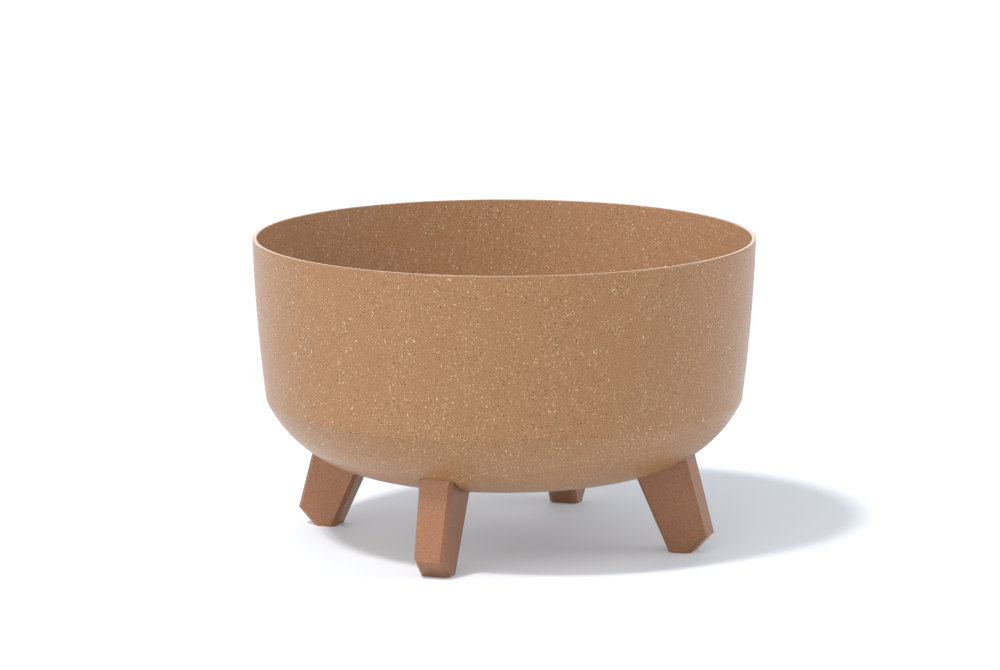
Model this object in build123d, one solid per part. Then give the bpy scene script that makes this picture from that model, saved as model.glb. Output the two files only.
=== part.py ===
"""Low round planter bowl on four short splayed legs, with a lift-out drainage grate.

Frame: origin on the ground under the middle of the bowl, +Z up, front towards -Y.
All sizes are in millimetres.
"""

import math
import os

from build123d import *

os.makedirs("parts", exist_ok=True)

# ---- overall ---------------------------------------------------------------
rim_d = 295.0  # outside diameter of the rim
height = 180.0  # ground to rim
wall = 2.5  # moulded wall of the bowl

# ---- bowl outline ----------------------------------------------------------
ground_gap = 43.15  # ground to the flat middle of the underside
underside_rise = 41.5  # flat middle of the underside up to the kink in the wall
underside_rad = 72.8  # curve of the underside
wall_taper = 7.5  # inward from the rim to the kink
wall_belly = 1.15  # outward bulge of the wall halfway up
kink_round = 7.0
lip_round_out = 0.9
lip_round_in = 0.5

# ---- legs ------------------------------------------------------------------
leg_angles = {"front_right": -45.0, "back_right": 45.0, "back_left": 135.0, "front_left": -135.0}
sole_inset = 42.8  # rim to the inner edge of the sole
sole_len = 13.2  # sole, measured outwards
sole_width = 17.8
toe_len = 10.0  # bevel between the sole and the outer face
toe_rise = 10.6
inner_slope = 0.458  # outward travel per millimetre down, inner face
outer_slope = 0.2738  # the same for the outer face
side_draft = 1.6  # degrees on each broad side
edge_bevel = 2.2  # on the four long edges
leg_wall = 2.6
sole_thick = 3.0
recess = 1.2  # depth of the seat that takes the top of a leg
recess_gap = 0.5  # round the top of a leg
seat_gap = 0.1  # above the top edge of a leg
web_t = 2.0  # plate that joins the screw post to the leg's walls
web_drop = 4.0  # the plate stops this far below the seat

# ---- leg screws ------------------------------------------------------------
screw_r = 1.95
screw_len = 22.0  # under the head
screw_tip = 1.2
screw_hole_r = 2.25
pilot_clear = 0.05
pilot_spare = 1.0  # depth of the hole past the tip
head_r = 4.2
head_h = 2.6
head_round = 1.4
cross_len = 4.4  # cross recess in the head
cross_t = 0.9
cross_deep = 1.5
washer_r = 5.2
washer_t = 1.2
washer_clear = 0.1
post_r = 4.8
boss_h = 0.8  # flat bosses above and below the seat
boss_gap = 0.2  # between a boss and the inside of the leg

# ---- drain -----------------------------------------------------------------
drain_r = 8.0
drain_clear = 0.1
collar_wall = 2.4
collar_h = 2.0
plug_flange_r = 13.0
plug_flange_t = 1.8
plug_wall = 1.8
plug_spare = 1.0  # the stem stands this far above the collar
plug_lead = 0.8
grip_h = 6.0
grip_t = 3.2
grip_len = 19.5
grip_round = 2.5
seal_t = 1.2
seal_r = 12.2

# ---- grate -----------------------------------------------------------------
deck_rise = 27.0  # underside of the grate above the bowl's underside
deck_t = 3.0
deck_gap = 2.0  # between the deck and the bowl
lip_h = 4.0
lip_t = 2.4
foot_r = 7.0
foot_wall = 2.2
foot_inset = 16.0  # edge of the flat floor to the middle of a foot
foot_angles = (0, 90, 180, 270)
rib_t = 2.4
rib_depth = 7.0
rib_gap = 4.0  # between the end of a rib and the bowl
lift_hole_r = 13.0
slot_w = 4.6
slot_pitch = 9.0
spoke_half = 8.5  # half the plain strip above a rib
spoke_half_diagonal = 4.5


def circle_through(a, b, c):
    """Centre and radius of the circle through three (r, z) points."""
    (ax, ay), (bx, by), (cx, cy) = a, b, c
    d = 2 * (ax * (by - cy) + bx * (cy - ay) + cx * (ay - by))
    sa, sb, sc = ax * ax + ay * ay, bx * bx + by * by, cx * cx + cy * cy
    ux = (sa * (by - cy) + sb * (cy - ay) + sc * (ay - by)) / d
    uy = (sa * (cx - bx) + sb * (ax - cx) + sc * (bx - ax)) / d
    return (ux, uy), math.hypot(ax - ux, ay - uy)


def lower_meet(c1, r1, c2, r2):
    """The lower of the two crossings of two circles."""
    dx, dz = c2[0] - c1[0], c2[1] - c1[1]
    d = math.hypot(dx, dz)
    a = (r1 * r1 - r2 * r2 + d * d) / (2 * d)
    h = math.sqrt(r1 * r1 - a * a)
    mx, mz = c1[0] + a * dx / d, c1[1] + a * dz / d
    first, second = (mx + h * dz / d, mz - h * dx / d), (mx - h * dz / d, mz + h * dx / d)
    return min(first, second, key=lambda p: p[1])


# ---- places worked out from the sizes --------------------------------------
far = 2 * (rim_d + height)  # longer than anything in the part
rim_r = rim_d / 2
floor_z = ground_gap
kink_r, kink_z = rim_r - wall_taper, floor_z + underside_rise
belly_r = (rim_r + kink_r) / 2 + wall_belly
wall_c, wall_rad = circle_through(
    (rim_r, height), (belly_r, (height + kink_z) / 2), (kink_r, kink_z)
)
flat_r = kink_r - math.sqrt(underside_rad**2 - (underside_rad - underside_rise) ** 2)
under_c = (flat_r, floor_z + underside_rad)
sole_in_r = rim_r - sole_inset

# A leg leans along a line through the centre of the underside's curve, so its seat is square to it.
lean = math.degrees(math.atan((inner_slope + outer_slope) / 2))
leg_top = kink_z
leg_line = Location((under_c[0], 0, under_c[1])) * Rot(0, -lean, 0)
boss_r = sole_width / 2 - leg_wall - boss_gap
boss_in = underside_rad - wall - recess - boss_h  # flat faces, measured from the curve's centre
boss_out = underside_rad - recess + boss_h
washer_top = boss_in - washer_t
head_top = washer_top - head_h

collar_top = floor_z + wall + collar_h
flange_top = floor_z - seal_t
stem_r = drain_r - drain_clear
deck_z = floor_z + deck_rise


def wall_at(z, inset):
    """Radius of the side wall at height z, drawn in by inset."""
    return wall_c[0] + math.sqrt((wall_rad - inset) ** 2 - (z - wall_c[1]) ** 2)


def under_at(z, inset):
    """Radius of the curved underside at height z, drawn in by inset."""
    return under_c[0] + math.sqrt((underside_rad - inset) ** 2 - (z - under_c[1]) ** 2)


def level_edges(solid, z):
    """The edges of a solid that lie at height z, smallest first."""
    found = [
        e for e in solid.edges()
        if max(abs(e.bounding_box().min.Z - z), abs(e.bounding_box().max.Z - z)) < 0.01
    ]
    return sorted(found, key=lambda e: e.bounding_box().size.X)


def bowl_body(inset, top):
    """Solid inside the bowl's outline, drawn in by inset, up to z = top."""
    rad = underside_rad - inset
    meet = lower_meet(wall_c, wall_rad - inset, under_c, rad)
    low = floor_z + inset
    mid_z = (meet[1] + top) / 2
    half = (math.atan2(under_c[1] - meet[1], meet[0] - under_c[0]) + math.pi / 2) / 2
    bend = (under_c[0] + rad * math.cos(half), under_c[1] - rad * math.sin(half))
    path = [
        Line((0, low), (flat_r, low)),
        ThreePointArc((flat_r, low), bend, meet),
        ThreePointArc(meet, (wall_at(mid_z, inset), mid_z), (wall_at(top, inset), top)),
        Line((wall_at(top, inset), top), (0, top)),
        Line((0, top), (0, low)),
    ]
    solid = revolve(Plane.XZ * make_face(Curve() + path), Axis.Z)
    return fillet(level_edges(solid, meet[1]), kink_round - inset)


def disc(r, z0, z1):
    """Upright cylinder on the bowl's axis."""
    return Pos(0, 0, z0) * extrude(Circle(r), z1 - z0)


def ring(r_out, r_in, z0, z1):
    """Upright tube on the bowl's axis."""
    return disc(r_out, z0, z1) - disc(r_in, z0 - wall, z1 + wall)


def on_line(r, start, length):
    """Cylinder on a leg's own line; distances run down from the curve's centre."""
    return leg_line * Pos(0, 0, -start - length) * extrude(Circle(r), length)


def leg_block(grow):
    """Outer form of a leg on +X, grown all round, from the sole to above the bowl's underside."""
    toe_r = sole_in_r + sole_len + toe_len
    side = Polygon(
        (sole_in_r, 0),
        (sole_in_r + sole_len, 0),
        (toe_r, toe_rise),
        (toe_r - outer_slope * (leg_top - toe_rise), leg_top),
        (sole_in_r - inner_slope * leg_top, leg_top),
        align=None,
    )
    half = sole_width / 2
    spread = math.tan(math.radians(side_draft)) * leg_top
    front = Polygon(
        (-half, 0), (half, 0), (half + spread, leg_top), (-half - spread, leg_top), align=None
    )
    if grow:
        side = offset(side, grow, kind=Kind.INTERSECTION)
        front = offset(front, grow, kind=Kind.INTERSECTION)
    return extrude(Plane.XZ * side, far, both=True) & extrude(Plane.YZ * front, far)


def bevelled(block, grow):
    """A leg block with its long edges bevelled, the bevel grown like the block."""
    long_edges = [
        e for e in block.edges()
        if e.bounding_box().size.Z > toe_rise / 2 and abs(e.center().Y) > sole_width / 4
    ]
    return chamfer(long_edges, edge_bevel + (2 - math.sqrt(2)) * grow)


def make_bowl():
    """The moulded shell, with a seat, a pad and two flat bosses for each leg, and the drain."""
    bowl = bowl_body(0, height) - bowl_body(wall, height + wall)
    bowl = fillet(level_edges(bowl, height)[-1], lip_round_out)
    bowl = fillet(level_edges(bowl, height)[0], lip_round_in)
    bowl += disc(drain_r + collar_wall, floor_z, collar_top)
    bowl -= disc(drain_r, 0, height)
    pad_grow = recess_gap + wall
    pad = bevelled(leg_block(pad_grow), pad_grow)
    pad &= bowl_body(wall / 2, height) - bowl_body(wall + recess, height + wall)
    seat = bevelled(leg_block(recess_gap), recess_gap) - bowl_body(recess, height)
    turns = [Rot(0, 0, angle) for angle in leg_angles.values()]
    bowl += [turn * pad for turn in turns]
    bowl -= [turn * seat for turn in turns]
    bowl += [turn * on_line(boss_r, boss_in, boss_out - boss_in) for turn in turns]
    bowl -= [turn * on_line(screw_hole_r, head_top, underside_rad - head_top) for turn in turns]
    return bowl


def make_leg():
    """A hollow leg, open at the top, with a post for its screw and a web that steadies it."""
    leg = bevelled(leg_block(0), 0) - bowl_body(recess - seat_gap, height)
    core = leg_block(-leg_wall)
    core -= Pos(0, 0, sole_thick - far / 2) * Box(far, far, far)
    leg -= core
    within = leg_block(-leg_wall / 2)
    web = Pos(far / 2, 0, 0) * Box(far, web_t, far)
    web -= leg_line * Pos(0, 0, far / 2 - boss_out - web_drop) * Box(far, far, far)
    leg += on_line(post_r, boss_out, height) & within
    leg += web & within
    return leg - on_line(screw_r + pilot_clear, washer_top, screw_len + pilot_spare)


def make_washer():
    """The rubber washer that seals under a screw's head."""
    return on_line(washer_r, washer_top, washer_t) - on_line(
        screw_r + washer_clear, head_top, head_h + 2 * washer_t
    )


def make_screw():
    """A pan-head screw with a cross recess; its thread is a plain shank."""
    head = on_line(head_r, head_top, head_h)
    rims = head.edges().filter_by(GeomType.CIRCLE).sort_by(Axis.Z)
    head = fillet(rims[-1], head_round)
    screw = head + on_line(screw_r, washer_top, screw_len)
    rims = screw.edges().filter_by(GeomType.CIRCLE).sort_by(Axis.Z)
    screw = chamfer(rims[0], screw_tip)
    for turn in (0, 90):
        slot = Pos(0, 0, -head_top) * Rot(0, 0, turn) * Box(cross_len, cross_t, 2 * cross_deep)
        screw -= leg_line * slot
    return screw


def make_plug():
    """The push-in drain plug, with a hollow stem and a grip to pull it down by."""
    flange_low = flange_top - plug_flange_t
    stem_top = collar_top + plug_spare
    stem = chamfer(level_edges(disc(stem_r, flange_low, stem_top), stem_top), plug_lead)
    plug = disc(plug_flange_r, flange_low, flange_top) + stem
    plug -= disc(stem_r - plug_wall, flange_top, stem_top + plug_spare)
    grip_low = flange_low - grip_h
    grip = Pos(0, 0, (grip_low + flange_top) / 2) * Box(grip_len, grip_t, flange_top - grip_low)
    corners = grip.edges().filter_by(Axis.Y).group_by(Axis.Z)[0]
    return plug + fillet(corners, grip_round)


def slot_rings(deck_r):
    """The arc slots of one quarter of the deck, as cutters."""
    cutters = []
    slot_r = lift_hole_r + slot_pitch + slot_w
    while slot_r < deck_r - lip_t - slot_w:
        start = math.degrees(spoke_half / slot_r)
        end = 45 - math.degrees(spoke_half_diagonal / slot_r)
        if math.radians(end - start) * slot_r > slot_w:
            arc = CenterArc((0, 0), slot_r, start, end - start)
            cutter = Pos(0, 0, deck_z - deck_t) * extrude(SlotArc(arc, slot_w), 3 * deck_t)
            cutters += [cutter, mirror(cutter, Plane.XZ)]
        slot_r += slot_pitch
    return cutters


def make_grate():
    """The slotted deck with its rim, ribs, lift hole and feet."""
    deck_r = under_at(deck_z, wall) - deck_gap
    deck_top = deck_z + deck_t
    rib_z = deck_z - rib_depth
    rib_r = under_at(rib_z, wall) - rib_gap
    grate = disc(deck_r, deck_z, deck_top) + ring(deck_r, deck_r - lip_t, deck_z, deck_top + lip_h)
    grate += disc(lift_hole_r + rib_t, rib_z, deck_z)
    bar = Pos(0, 0, (rib_z + deck_z) / 2) * Box(2 * rib_r, rib_t, rib_depth)
    grate += [Rot(0, 0, turn) * bar for turn in (0, 90)]
    foot_at = [Rot(0, 0, turn) * Pos(flat_r - foot_inset, 0, 0) for turn in foot_angles]
    grate += [at * disc(foot_r, floor_z + wall, deck_z) for at in foot_at]
    grate -= [at * disc(foot_r - foot_wall, floor_z, deck_z) for at in foot_at]
    grate -= disc(lift_hole_r, floor_z, height)
    cutters = slot_rings(deck_r)
    for turn in foot_angles:
        grate -= [Rot(0, 0, turn) * cutter for cutter in cutters]
    return grate


nodes = {
    "bowl": make_bowl(),
    "drainage_grate": make_grate(),
    "drain_plug": make_plug(),
    "plug_seal": ring(seal_r, stem_r + drain_clear, flange_top, floor_z),
}
for kind, shape in {"leg": make_leg(), "screw": make_screw(), "washer": make_washer()}.items():
    for place, angle in leg_angles.items():
        nodes[f"{kind}_{place}"] = Rot(0, 0, angle) * shape
for name, shape in nodes.items():
    export_step(shape, f"parts/{name}.step")
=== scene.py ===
"""Looks, studio and camera of a footed planter bowl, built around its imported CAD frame.

All lengths are metres unless a name ends in _mm.
"""

import logging
import math
from dataclasses import dataclass
from enum import Enum

import bmesh
import bpy
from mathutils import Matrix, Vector

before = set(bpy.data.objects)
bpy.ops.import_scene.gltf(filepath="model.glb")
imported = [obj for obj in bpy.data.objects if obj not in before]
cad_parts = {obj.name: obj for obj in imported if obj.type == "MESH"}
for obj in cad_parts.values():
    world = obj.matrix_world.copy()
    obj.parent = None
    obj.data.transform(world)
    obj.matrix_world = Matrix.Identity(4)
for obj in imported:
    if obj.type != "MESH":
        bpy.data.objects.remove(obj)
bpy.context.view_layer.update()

MM = 0.001
log = logging.getLogger("planter")


def linear(hex_colour: str) -> tuple[float, float, float, float]:
    """Turns an sRGB hex colour into linear red, green, blue and alpha.

    Args:
        hex_colour: Six hex digits after a hash sign.

    Returns:
        The linear colour with an alpha of 1.
    """
    channels = (int(hex_colour[i : i + 2], 16) / 255 for i in (1, 3, 5))
    return (*(c / 12.92 if c <= 0.04045 else ((c + 0.055) / 1.055) ** 2.4 for c in channels), 1.0)


def add(tree: bpy.types.NodeTree, kind: str, inputs: dict | None = None, **settings) -> bpy.types.Node:
    """Adds a node to a shader tree.

    Args:
        tree: The tree that takes the node.
        kind: The node's type.
        inputs: Input names or numbers with a value, or with the output that feeds them.
        settings: Attributes of the node.

    Returns:
        The new node.
    """
    node = tree.nodes.new(kind)
    for name, value in settings.items():
        setattr(node, name, value)
    for name, value in (inputs or {}).items():
        if isinstance(value, bpy.types.NodeSocket):
            tree.links.new(value, node.inputs[name])
        else:
            node.inputs[name].default_value = value
    return node


def start_material(name: str) -> tuple[bpy.types.Material, bpy.types.NodeTree, bpy.types.NodeSocket]:
    """Starts a material with an empty shader tree.

    Args:
        name: The material's name.

    Returns:
        The material, its tree, and the position in the object, in metres.
    """
    material = bpy.data.materials.new(name)
    material.use_nodes = True
    tree = material.node_tree
    tree.nodes.clear()
    return material, tree, add(tree, "ShaderNodeTexCoord").outputs["Object"]


class LegPlace(Enum):
    """The four legs' places, as they stand in the frame's node names."""

    FRONT_RIGHT = "front_right"
    BACK_RIGHT = "back_right"
    BACK_LEFT = "back_left"
    FRONT_LEFT = "front_left"


@dataclass(frozen=True)
class Flecks:
    """One kind of fleck in a moulded compound, each a sliver that lies its own way.

    Attributes:
        colour: Colour of the fleck.
        spacing_mm: Mean distance between places for a fleck.
        length_mm: Length of a fleck.
        width_mm: Thickness of a fleck.
        share: Mean share of the places that hold a fleck.
        strength: How strongly the plainest fleck covers the compound.
        faintest: Strength of the faintest fleck, as a share of the plainest's.
        edge_out: Where a fleck's soft edge ends, in half-lengths from its middle.
        edge_in: Where it starts.
    """

    colour: str
    spacing_mm: float
    length_mm: float
    width_mm: float
    share: float
    strength: float
    faintest: float = 0.35
    edge_out: float = 1.2
    edge_in: float = 0.7

    def paint(
        self,
        tree: bpy.types.NodeTree,
        place: bpy.types.NodeSocket,
        crowding: bpy.types.NodeSocket,
        under: bpy.types.NodeSocket,
    ) -> bpy.types.NodeSocket:
        """Lays the flecks over a colour.

        Each cell of a Voronoi pattern holds one fleck or none. The cell's random colour gives
        the fleck's turn, whether it is there at all, and how plain it is.

        Args:
            tree: The material's node tree.
            place: Position in the object, in metres.
            crowding: How many flecks lie here, against the mean.
            under: The colour that the flecks lie on.

        Returns:
            The new colour.
        """
        per_metre = 1 / (self.spacing_mm * MM)
        cells = add(tree, "ShaderNodeVectorMath", {0: place, "Scale": per_metre}, operation="SCALE")
        cell = add(tree, "ShaderNodeTexVoronoi", {"Vector": cells.outputs[0], "Scale": 1.0})
        offset = add(
            tree, "ShaderNodeVectorMath", {0: cells.outputs[0], 1: cell.outputs["Position"]},
            operation="SUBTRACT",
        )
        turn = add(
            tree, "ShaderNodeVectorMath", {0: cell.outputs["Color"], "Scale": math.tau},
            operation="SCALE",
        )
        turned = add(
            tree, "ShaderNodeVectorRotate", {"Vector": offset.outputs[0], "Rotation": turn.outputs[0]},
            rotation_type="EULER_XYZ",
        )
        across = 2 * self.spacing_mm / self.width_mm
        along = 2 * self.spacing_mm / self.length_mm
        shaped = add(
            tree, "ShaderNodeVectorMath", {0: turned.outputs[0], 1: (along, across, across)},
            operation="MULTIPLY",
        )
        reach = add(tree, "ShaderNodeVectorMath", {0: shaped.outputs[0]}, operation="LENGTH")
        inside = add(
            tree, "ShaderNodeMapRange",
            {"Value": reach.outputs["Value"], "From Min": self.edge_out, "From Max": self.edge_in},
        )
        chance = add(tree, "ShaderNodeSeparateColor", {"Color": cell.outputs["Color"]})
        filled = add(tree, "ShaderNodeMath", {0: crowding, 1: self.share}, operation="MULTIPLY")
        held = add(
            tree, "ShaderNodeMath", {0: chance.outputs["Green"], 1: filled.outputs[0]},
            operation="LESS_THAN",
        )
        depth = add(
            tree, "ShaderNodeMapRange",
            {"Value": chance.outputs["Blue"], "To Min": self.faintest * self.strength,
             "To Max": self.strength},
        )
        here = add(
            tree, "ShaderNodeMath", {0: inside.outputs[0], 1: held.outputs[0]}, operation="MULTIPLY"
        )
        cover = add(
            tree, "ShaderNodeMath", {0: here.outputs[0], 1: depth.outputs[0]}, operation="MULTIPLY"
        )
        mixed = add(
            tree, "ShaderNodeMix", {"Factor": cover.outputs[0], 6: under, 7: linear(self.colour)},
            data_type="RGBA",
        )
        return mixed.outputs[2]


@dataclass(frozen=True)
class FibreComposite:
    """Polypropylene filled with wood fibre, injection moulded in a lightly textured tool.

    The ground filler shows as a fine uneven grain, and coarser fibre as pale slivers and dark
    specks that gather in drifts where the melt carried them. The skin of plastic over the
    filler gives a soft gloss at low angles.

    Attributes:
        name: The material's name.
        dark: Colour of the grain's dark side.
        pale: Colour of its pale side.
        flecks: The kinds of fleck in it, laid one over the other.
        roughness: Roughness of the compound.
        body_ior: Refractive index of the filler and plastic together, at the surface.
        skin: Weight of the skin of clear plastic.
        skin_roughness: Roughness of the skin.
        skin_ior: Refractive index of the skin.
        metal_flake: Weight of the metal flake in the compound.
        inside_painted_light: Factors on red, green and blue for inner faces, or None for a solid piece;
            they paint light onto the inner faces, making them paler and greyer as if lit more.
        inner_face_middle: The point in the piece that its inner faces look towards, in metres.
        grain_mm: Size of the grain.
        grain_ends: Values of the grain's noise that give the plain dark and pale colours.
        drift_mm: Size of the drifts.
        drift_ends: Values of the drifts' noise where flecks are fewest and most.
        drift_crowding: How many flecks lie there, against the mean.
        pebble_mm: Size of the tool's texture.
        pebble_height_mm: Height of the tool's texture.
    """

    name: str
    dark: str
    pale: str
    flecks: tuple[Flecks, ...]
    roughness: float
    body_ior: float = 1.35
    skin: float = 0.35
    skin_roughness: float = 0.25
    skin_ior: float = 1.5
    metal_flake: float = 0.0
    inside_painted_light: tuple[float, float, float] | None = None
    inner_face_middle: tuple[float, float, float] = (0.0, 0.0, 0.14)
    grain_mm: float = 0.75
    grain_ends: tuple[float, float] = (0.25, 0.75)
    drift_mm: float = 14.0
    drift_ends: tuple[float, float] = (0.3, 0.7)
    drift_crowding: tuple[float, float] = (0.2, 1.8)
    pebble_mm: float = 0.6
    pebble_height_mm: float = 0.012

    def make(self) -> bpy.types.Material:
        """Builds the material."""
        material, tree, place = start_material(self.name)
        grain = add(
            tree, "ShaderNodeTexNoise",
            {"Vector": place, "Scale": 1 / (self.grain_mm * MM), "Detail": 1.0, "Roughness": 0.5},
        )
        spread = add(
            tree, "ShaderNodeMapRange",
            {"Value": grain.outputs["Fac"],
             "From Min": self.grain_ends[0], "From Max": self.grain_ends[1]},
        )
        colour = add(
            tree, "ShaderNodeMix",
            {"Factor": spread.outputs[0], 6: linear(self.dark), 7: linear(self.pale)},
            data_type="RGBA",
        ).outputs[2]
        drift = add(
            tree, "ShaderNodeTexNoise",
            {"Vector": place, "Scale": 1 / (self.drift_mm * MM), "Detail": 1.0},
        )
        crowding = add(
            tree, "ShaderNodeMapRange",
            {"Value": drift.outputs["Fac"],
             "From Min": self.drift_ends[0], "From Max": self.drift_ends[1],
             "To Min": self.drift_crowding[0], "To Max": self.drift_crowding[1]},
        ).outputs[0]
        for kind in self.flecks:
            colour = kind.paint(tree, place, crowding, colour)
        # Painted light: the inner faces are made paler and greyer, standing in for the brighter light
        # inside the piece.
        if self.inside_painted_light is not None:
            colour = self.paint_inside_light(tree, place, colour)
        pebble = add(
            tree, "ShaderNodeTexNoise",
            {"Vector": place, "Scale": 1 / (self.pebble_mm * MM), "Detail": 1.0},
        )
        bump = add(
            tree, "ShaderNodeBump",
            {"Height": pebble.outputs["Fac"], "Distance": self.pebble_height_mm * MM, "Strength": 1.0},
        )
        shader = add(
            tree, "ShaderNodeBsdfPrincipled",
            {"Base Color": colour, "Roughness": self.roughness, "IOR": self.body_ior,
             "Normal": bump.outputs[0], "Metallic": self.metal_flake, "Coat Weight": self.skin,
             "Coat Roughness": self.skin_roughness, "Coat IOR": self.skin_ior},
        )
        add(tree, "ShaderNodeOutputMaterial", {"Surface": shader.outputs[0]})
        return material

    def paint_inside_light(
        self, tree: bpy.types.NodeTree, place: bpy.types.NodeSocket, colour: bpy.types.NodeSocket
    ) -> bpy.types.NodeSocket:
        """Paints light onto the inner faces: makes them paler and greyer, standing in for the brighter
        light that falls inside the piece.

        A face is an inner one when it looks back towards the middle of the piece.

        Args:
            tree: The material's node tree.
            place: Position in the object, in metres.
            colour: The compound's colour.

        Returns:
            The new colour.
        """
        normal = add(tree, "ShaderNodeNewGeometry").outputs["Normal"]
        out = add(tree, "ShaderNodeVectorMath", {0: place, 1: self.inner_face_middle}, operation="SUBTRACT")
        facing = add(
            tree, "ShaderNodeVectorMath", {0: out.outputs[0], 1: normal}, operation="DOT_PRODUCT"
        )
        inner = add(tree, "ShaderNodeMath", {0: facing.outputs["Value"], 1: 0.0}, operation="LESS_THAN")
        shade = add(
            tree, "ShaderNodeMix",
            {"Factor": inner.outputs[0], 6: (1.0, 1.0, 1.0, 1.0), 7: (*self.inside_painted_light, 1.0)},
            data_type="RGBA",
        )
        scaled = add(
            tree, "ShaderNodeVectorMath", {0: colour, 1: shade.outputs[2]}, operation="MULTIPLY"
        )
        return scaled.outputs[0]


@dataclass(frozen=True)
class MouldedPlastic:
    """Polypropylene or rubber from a spark-eroded mould, one colour with a fine dull grain.

    Attributes:
        name: The material's name.
        colour: Its colour.
        worn: Its colour on top of the grain.
        roughness: Its mean roughness.
        roughness_play: How far the grain takes the roughness up and down.
        ior: Its refractive index.
        grain_mm: Size of the grain.
        grain_height_mm: Height of the grain.
    """

    name: str
    colour: str
    worn: str
    roughness: float
    roughness_play: float = 0.08
    ior: float = 1.49
    grain_mm: float = 0.8
    grain_height_mm: float = 0.03

    def make(self) -> bpy.types.Material:
        """Builds the material."""
        material, tree, place = start_material(self.name)
        grain = add(
            tree, "ShaderNodeTexNoise",
            {"Vector": place, "Scale": 1 / (self.grain_mm * MM), "Detail": 4.0},
        )
        tint = add(
            tree, "ShaderNodeMix",
            {"Factor": grain.outputs["Fac"], 6: linear(self.colour), 7: linear(self.worn)},
            data_type="RGBA",
        )
        dull = add(
            tree, "ShaderNodeMapRange",
            {"Value": grain.outputs["Fac"], "To Min": self.roughness - self.roughness_play,
             "To Max": self.roughness + self.roughness_play},
        )
        bump = add(
            tree, "ShaderNodeBump",
            {"Height": grain.outputs["Fac"], "Distance": self.grain_height_mm * MM, "Strength": 1.0},
        )
        shader = add(
            tree, "ShaderNodeBsdfPrincipled",
            {"Base Color": tint.outputs[2], "Roughness": dull.outputs[0], "IOR": self.ior,
             "Normal": bump.outputs[0]},
        )
        add(tree, "ShaderNodeOutputMaterial", {"Surface": shader.outputs[0]})
        return material


@dataclass(frozen=True)
class ZincSteel:
    """Zinc-plated, clear-passivated steel: a soft bluish metal with cloudy crystals.

    Attributes:
        name: The material's name.
        colour: Its colour.
        cloud: Colour of its duller crystals.
        roughness: Its mean roughness.
        roughness_play: How far one crystal's roughness lies from the mean at most.
        crystal_mm: Size of a crystal.
    """

    name: str
    colour: str
    cloud: str
    roughness: float
    roughness_play: float = 0.06
    crystal_mm: float = 1.2

    def make(self) -> bpy.types.Material:
        """Builds the material."""
        material, tree, place = start_material(self.name)
        crystal = add(
            tree, "ShaderNodeTexVoronoi", {"Vector": place, "Scale": 1 / (self.crystal_mm * MM)}
        )
        tone = add(tree, "ShaderNodeSeparateColor", {"Color": crystal.outputs["Color"]})
        tint = add(
            tree, "ShaderNodeMix",
            {"Factor": tone.outputs["Red"], 6: linear(self.colour), 7: linear(self.cloud)},
            data_type="RGBA",
        )
        dull = add(
            tree, "ShaderNodeMapRange",
            {"Value": tone.outputs["Red"], "To Min": self.roughness - self.roughness_play,
             "To Max": self.roughness + self.roughness_play},
        )
        shader = add(
            tree, "ShaderNodeBsdfPrincipled",
            {"Base Color": tint.outputs[2], "Roughness": dull.outputs[0], "Metallic": 1.0},
        )
        add(tree, "ShaderNodeOutputMaterial", {"Surface": shader.outputs[0]})
        return material


# The bowl: a sandy tan body with two kinds of dark speck and three of pale sliver, all finer
# than two or three millimetres, under a thin satin skin.
BOWL_FINISH = FibreComposite(
    name="wood fibre composite, moulded",
    dark="#90653D",
    pale="#B4865B",
    flecks=(
        Flecks("#5A3F26", spacing_mm=1.1, length_mm=1.0, width_mm=0.65, share=0.32, strength=0.68),
        Flecks("#3E2713", spacing_mm=2.0, length_mm=1.15, width_mm=0.72, share=0.4, strength=1.0),
        Flecks("#EBCFA4", spacing_mm=1.1, length_mm=1.15, width_mm=0.55, share=0.36, strength=0.4),
        Flecks("#F8E2BC", spacing_mm=1.7, length_mm=1.6, width_mm=0.55, share=0.42, strength=0.62),
        Flecks("#FAE8C6", spacing_mm=3.3, length_mm=2.5, width_mm=0.6, share=0.42, strength=0.75),
    ),
    roughness=0.42,
    # Painted light on the inner faces: paler and greyer than the outside, standing in for the brighter
    # light inside the bowl.
    inside_painted_light=(1.26, 1.41, 1.84),
)
# The legs: the same kind of compound, browner, with metal flake in place of the long slivers.
LEG_FINISH = FibreComposite(
    name="copper-brown composite, moulded",
    dark="#8F6247",
    pale="#A8795A",
    flecks=(
        Flecks("#D8A680", spacing_mm=2.0, length_mm=1.1, width_mm=0.7, share=0.35, strength=0.35),
        Flecks("#55301E", spacing_mm=2.2, length_mm=1.1, width_mm=0.7, share=0.35, strength=0.4),
    ),
    roughness=0.42,
    skin=0.2,
    metal_flake=0.5,
)
GRATE_FINISH = MouldedPlastic("sand-coloured polypropylene, moulded", "#B08A64", "#BE9972", 0.5)
PLUG_FINISH = MouldedPlastic("thermoplastic elastomer, moulded", "#1E1E1E", "#292929", 0.5)
SEAL_FINISH = MouldedPlastic("EPDM rubber, moulded", "#151515", "#202020", 0.7)
SCREW_FINISH = ZincSteel("zinc-plated steel", "#B9BDC2", "#A3A8AE", 0.3)


def dress(node: str, material: bpy.types.Material) -> None:
    """Gives a CAD node its material.

    Args:
        node: The node's name.
        material: Its finish.
    """
    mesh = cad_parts[node].data
    mesh.materials.clear()
    mesh.materials.append(material)
    log.info("%s: %s", node, material.name)


@dataclass(frozen=True)
class Panel:
    """One broad, soft-edged panel of the surround.

    Attributes:
        side: Degrees round from the front of the studio, towards the right.
        rise: Degrees above the floor.
        brightness: Brightness at the panel's middle.
    """

    side: float
    rise: float
    brightness: float

    def way(self, azimuth: float) -> Vector:
        """Finds the direction towards the panel's middle.

        Args:
            azimuth: Azimuth of the front of the studio, in degrees.

        Returns:
            The unit vector.
        """
        turn, rise = math.radians(azimuth + self.side), math.radians(self.rise)
        level = Vector((math.sin(turn), -math.cos(turn), 0))
        return level * math.cos(rise) + Vector((0, 0, math.sin(rise)))


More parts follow.
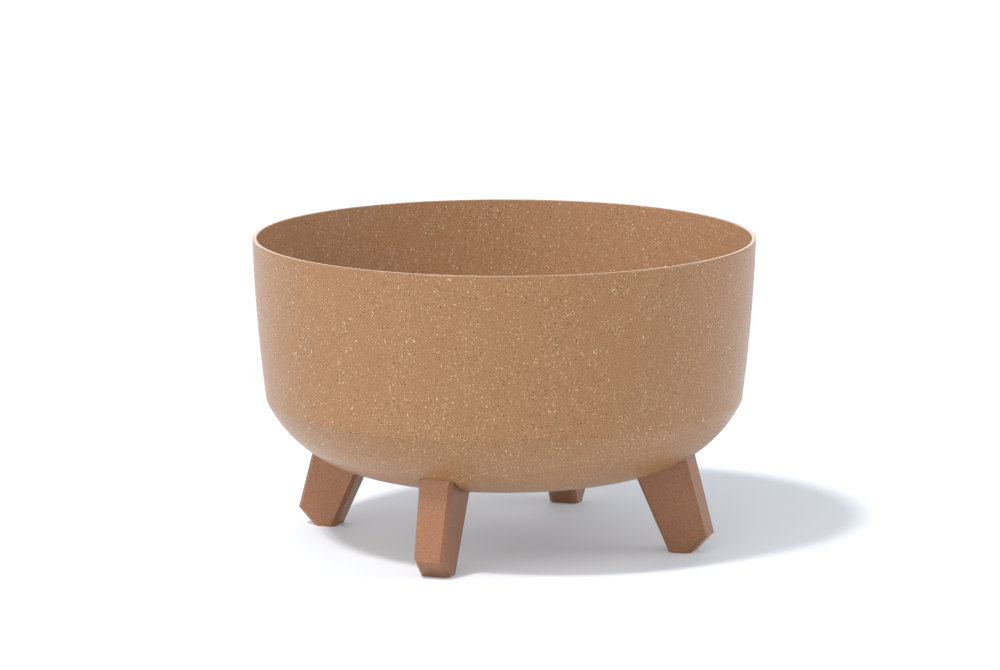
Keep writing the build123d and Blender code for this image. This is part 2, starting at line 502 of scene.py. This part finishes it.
@dataclass
class Studio:
    """A white light table, a surround of soft panels and one key light.

    Attributes:
        azimuth: Where the front of the studio lies, as the camera's azimuth in degrees.
        panels: The soft panels.
        panel_edge: How quickly a panel fades from its middle, as a power of the cosine.
        key_way: Direction towards the key light.
        key_angle: How wide the key light looks from the floor, in degrees.
        key_power: Strength of the key light, in watts for each square metre.
        glow: How strongly the floor glows round its middle, which fills the shadow.
        glow_colour: Colour of the glow.
        glow_start: Distance from the middle where the glow starts to fade.
        glow_end: Distance where it has faded.
        floor_half: Half the floor's side.
        floor_colour: A white that is a shade cool.
        floor_roughness: Roughness of the floor.
        floor_gloss: Weight of the floor's gloss.
    """

    azimuth: float
    panels: tuple[Panel, ...] = (
        Panel(side=90, rise=12, brightness=2.57),
        Panel(side=135, rise=12, brightness=0.14),
        Panel(side=180, rise=12, brightness=2.58),
        Panel(side=-135, rise=12, brightness=0.79),
        Panel(side=-90, rise=12, brightness=0.96),
        Panel(side=-45, rise=12, brightness=1.76),
        Panel(side=0, rise=50, brightness=1.35),
        Panel(side=180, rise=50, brightness=0.28),
    )
    panel_edge: float = 8.0
    key_way: tuple[float, float, float] = (-0.454, -0.164, 0.876)
    key_angle: float = 7.0
    key_power: float = 1.7
    glow: float = 0.135
    glow_colour: str = "#C0E7FF"
    glow_start: float = 0.25
    glow_end: float = 0.45
    floor_half: float = 12.0
    floor_colour: str = "#F1F4FB"
    floor_roughness: float = 0.9
    floor_gloss: float = 0.1

    def floor(self) -> None:
        """Lays the floor: a plain square, dull white, that glows faintly round its middle."""
        bm = bmesh.new()
        bmesh.ops.create_grid(bm, x_segments=1, y_segments=1, size=self.floor_half)
        mesh = bpy.data.meshes.new("studio_floor")
        bm.to_mesh(mesh)
        bm.free()
        floor = bpy.data.objects.new("studio_floor", mesh)
        bpy.context.scene.collection.objects.link(floor)
        material = bpy.data.materials.new("light table")
        material.use_nodes = True
        tree = material.node_tree
        shader = tree.nodes["Principled BSDF"]
        shader.inputs["Base Color"].default_value = linear(self.floor_colour)
        shader.inputs["Roughness"].default_value = self.floor_roughness
        shader.inputs["Specular IOR Level"].default_value = self.floor_gloss
        shader.inputs["Emission Color"].default_value = linear(self.glow_colour)
        place = add(tree, "ShaderNodeTexCoord").outputs["Object"]
        away = add(tree, "ShaderNodeVectorMath", {0: place}, operation="LENGTH")
        glow = add(
            tree, "ShaderNodeMapRange",
            {"Value": away.outputs["Value"], "From Min": self.glow_start, "From Max": self.glow_end,
             "To Min": self.glow, "To Max": 0.0},
            interpolation_type="SMOOTHSTEP",
        )
        tree.links.new(glow.outputs[0], shader.inputs["Emission Strength"])
        mesh.materials.append(material)

    def surround(self) -> None:
        """Sets the surround: the sum of the panels, each a power of the cosine from its middle."""
        world = bpy.data.worlds.new("soft panels")
        world.use_nodes = True
        tree = world.node_tree
        way = add(tree, "ShaderNodeTexCoord").outputs["Generated"]
        total = 0.0
        for panel in self.panels:
            along = add(
                tree, "ShaderNodeVectorMath", {0: way, 1: panel.way(self.azimuth)},
                operation="DOT_PRODUCT",
            )
            facing = add(
                tree, "ShaderNodeMath", {0: along.outputs["Value"], 1: 0.0}, operation="MAXIMUM"
            )
            soft = add(
                tree, "ShaderNodeMath", {0: facing.outputs[0], 1: self.panel_edge}, operation="POWER"
            )
            total = add(
                tree, "ShaderNodeMath", {0: soft.outputs[0], 1: panel.brightness, 2: total},
                operation="MULTIPLY_ADD",
            ).outputs[0]
        background = tree.nodes["Background"]
        background.inputs["Color"].default_value = (1.0, 1.0, 1.0, 1.0)
        tree.links.new(total, background.inputs["Strength"])
        bpy.context.scene.world = world

    def key(self) -> None:
        """Hangs the key light, as far as a sun, so that it lights the whole floor evenly."""
        light = bpy.data.lights.new("key", "SUN")
        light.energy = self.key_power
        light.angle = math.radians(self.key_angle)
        lamp = bpy.data.objects.new("key", light)
        lamp.rotation_euler = Vector(self.key_way).to_track_quat("Z", "Y").to_euler()
        bpy.context.scene.collection.objects.link(lamp)

    def build(self) -> None:
        """Builds the studio."""
        self.floor()
        self.surround()
        self.key()
        bpy.context.scene.view_settings.view_transform = "Standard"
        log.info("studio: floor, %d soft panels and key light", len(self.panels))


@dataclass
class Viewpoint:
    """A long lens a little above the rim, turned so that one leg comes forward.

    Attributes:
        azimuth: Where the camera stands, in degrees round the object from -Y.
        turn: How far it turns off the object's axis, in degrees.
        pitch: How far it looks down, in degrees.
        distance: Its distance from the object's axis.
        height: Its height above the floor.
        lens_mm: Focal length.
        sensor_mm: Width of the sensor.
        reach: How far it sees.
    """

    azimuth: float = -25.13
    turn: float = 0.045
    pitch: float = 9.906
    distance: float = 3.128
    height: float = 0.6674
    lens_mm: float = 194.5
    sensor_mm: float = 36.0
    reach: float = 100.0

    def build(self) -> None:
        """Places the camera and makes it the scene's."""
        data = bpy.data.cameras.new("camera")
        data.lens = self.lens_mm
        data.sensor_width = self.sensor_mm
        data.sensor_fit = "HORIZONTAL"
        data.clip_end = self.reach
        camera = bpy.data.objects.new("camera", data)
        a = math.radians(self.azimuth)
        camera.location = (self.distance * math.sin(a), -self.distance * math.cos(a), self.height)
        camera.rotation_euler = (
            math.radians(90 - self.pitch), 0.0, math.radians(self.azimuth + self.turn)
        )
        bpy.context.scene.collection.objects.link(camera)
        bpy.context.scene.camera = camera


def main() -> None:
    """Builds the looks in order, then the studio and the camera."""
    logging.basicConfig(level=logging.INFO, format="%(name)s: %(message)s")
    bowl_material, leg_material = BOWL_FINISH.make(), LEG_FINISH.make()
    seal_material, screw_material = SEAL_FINISH.make(), SCREW_FINISH.make()
    dress("bowl", bowl_material)
    dress("drainage_grate", GRATE_FINISH.make())
    dress("drain_plug", PLUG_FINISH.make())
    dress("plug_seal", seal_material)
    for place in LegPlace:
        dress(f"leg_{place.value}", leg_material)
        dress(f"screw_{place.value}", screw_material)
        dress(f"washer_{place.value}", seal_material)
    viewpoint = Viewpoint()
    Studio(viewpoint.azimuth).build()
    viewpoint.build()


if __name__ == "__main__":
    main()
